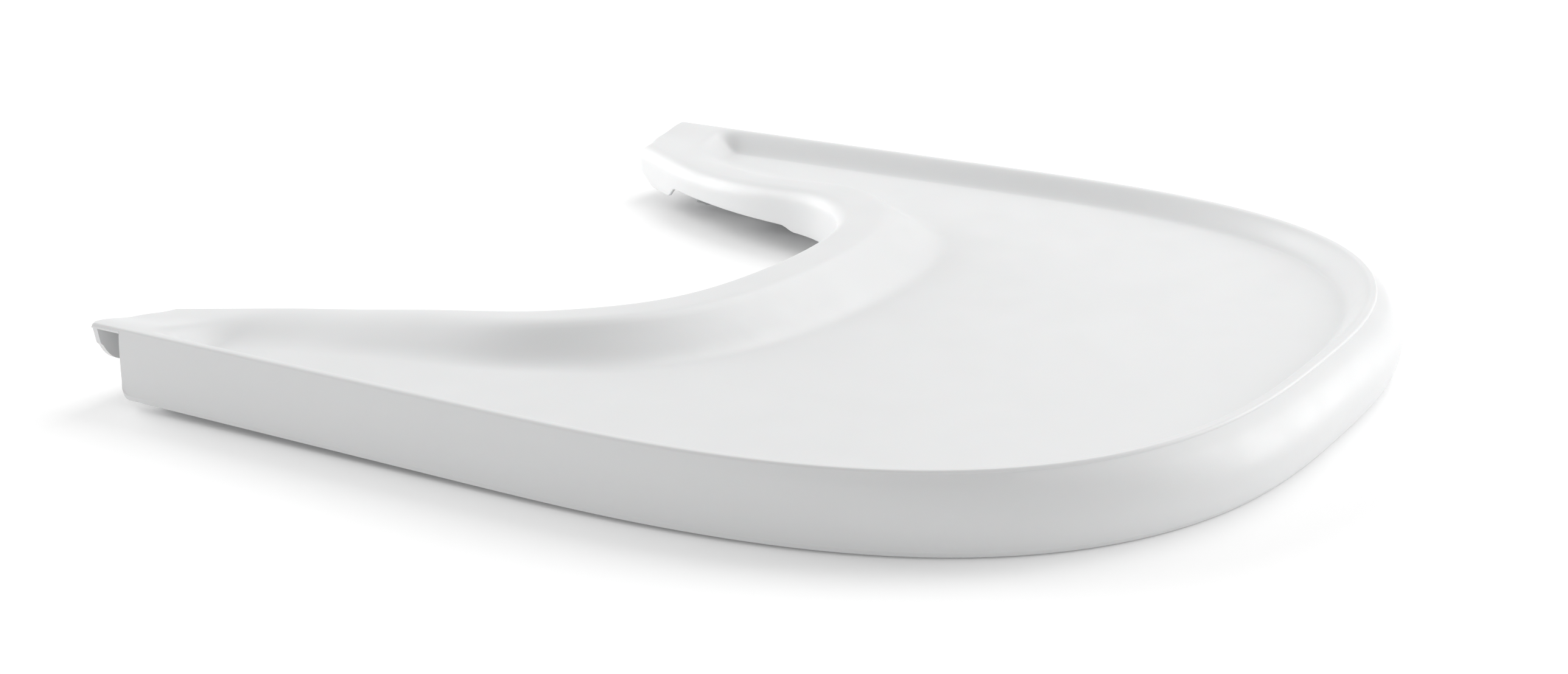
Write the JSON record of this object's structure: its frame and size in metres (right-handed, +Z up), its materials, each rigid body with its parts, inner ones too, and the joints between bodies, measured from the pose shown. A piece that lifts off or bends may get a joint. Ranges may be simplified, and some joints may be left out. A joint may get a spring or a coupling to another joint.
{
  "type": "high chair tray",
  "caption": "Moulded tray with a raised rim, a recessed floor and two arms round the child; squeeze latches under the arms hold it on the chair's rails.",
  "frame": {"origin": "on the floor under the middle of the tray's box", "axes": "+Z up, -Y towards the rounded front, +Y towards the child, +X to the right arm seen from the front edge looking at the child"},
  "size_m": [0.4692, 0.493, 0.0399],
  "materials": {
    "tray_plastic": "fine moulded grain, satin white",
    "guide_plastic": "moulded, light grey",
    "lever_plastic": "moulded, mid grey",
    "rubber": "soft, dark",
    "steel": "zinc plated"
  },
  "bodies": {
    "tray": {"left_cover_screw_1": "steel", "left_cover_screw_2": "steel", "left_foot_1": "rubber", "left_foot_2": "rubber", "left_guide_screw_1": "steel", "left_guide_screw_2": "steel", "left_guide_screw_3": "steel", "left_latch_cover": "guide_plastic", "left_latch_pin": "steel", "left_latch_spring": "steel", "left_rail_guide": "guide_plastic", "left_rail_pad": "rubber", "left_rail_stop": "rubber", "right_cover_screw_1": "steel", "right_cover_screw_2": "steel", "right_foot_1": "rubber", "right_foot_2": "rubber", "right_guide_screw_1": "steel", "right_guide_screw_2": "steel", "right_guide_screw_3": "steel", "right_latch_cover": "guide_plastic", "right_latch_pin": "steel", "right_latch_spring": "steel", "right_rail_guide": "guide_plastic", "right_rail_pad": "rubber", "right_rail_stop": "rubber", "tray_shell": "tray_plastic"},
    "left_latch": {"left_latch_lever": "lever_plastic"},
    "right_latch": {"right_latch_lever": "lever_plastic"}
  },
  "joints": [
    {"name": "right_latch_squeeze", "type": "hinge", "parent": "tray", "child": "right_latch", "pos_m": [0.19, 0.161, 0.0097], "axis": [0, 0, 1], "range_deg": [0, 9], "stiffness_Nm_per_rad": 0.4, "springref_deg": -11.46, "deforming": ["right_latch_spring"]},
    {"name": "left_latch_squeeze", "type": "hinge", "parent": "tray", "child": "left_latch", "pos_m": [-0.19, 0.161, 0.0097], "axis": [0, 0, -1], "range_deg": [0, 9], "stiffness_Nm_per_rad": 0.4, "springref_deg": -11.46, "deforming": ["left_latch_spring"]}
  ]
}
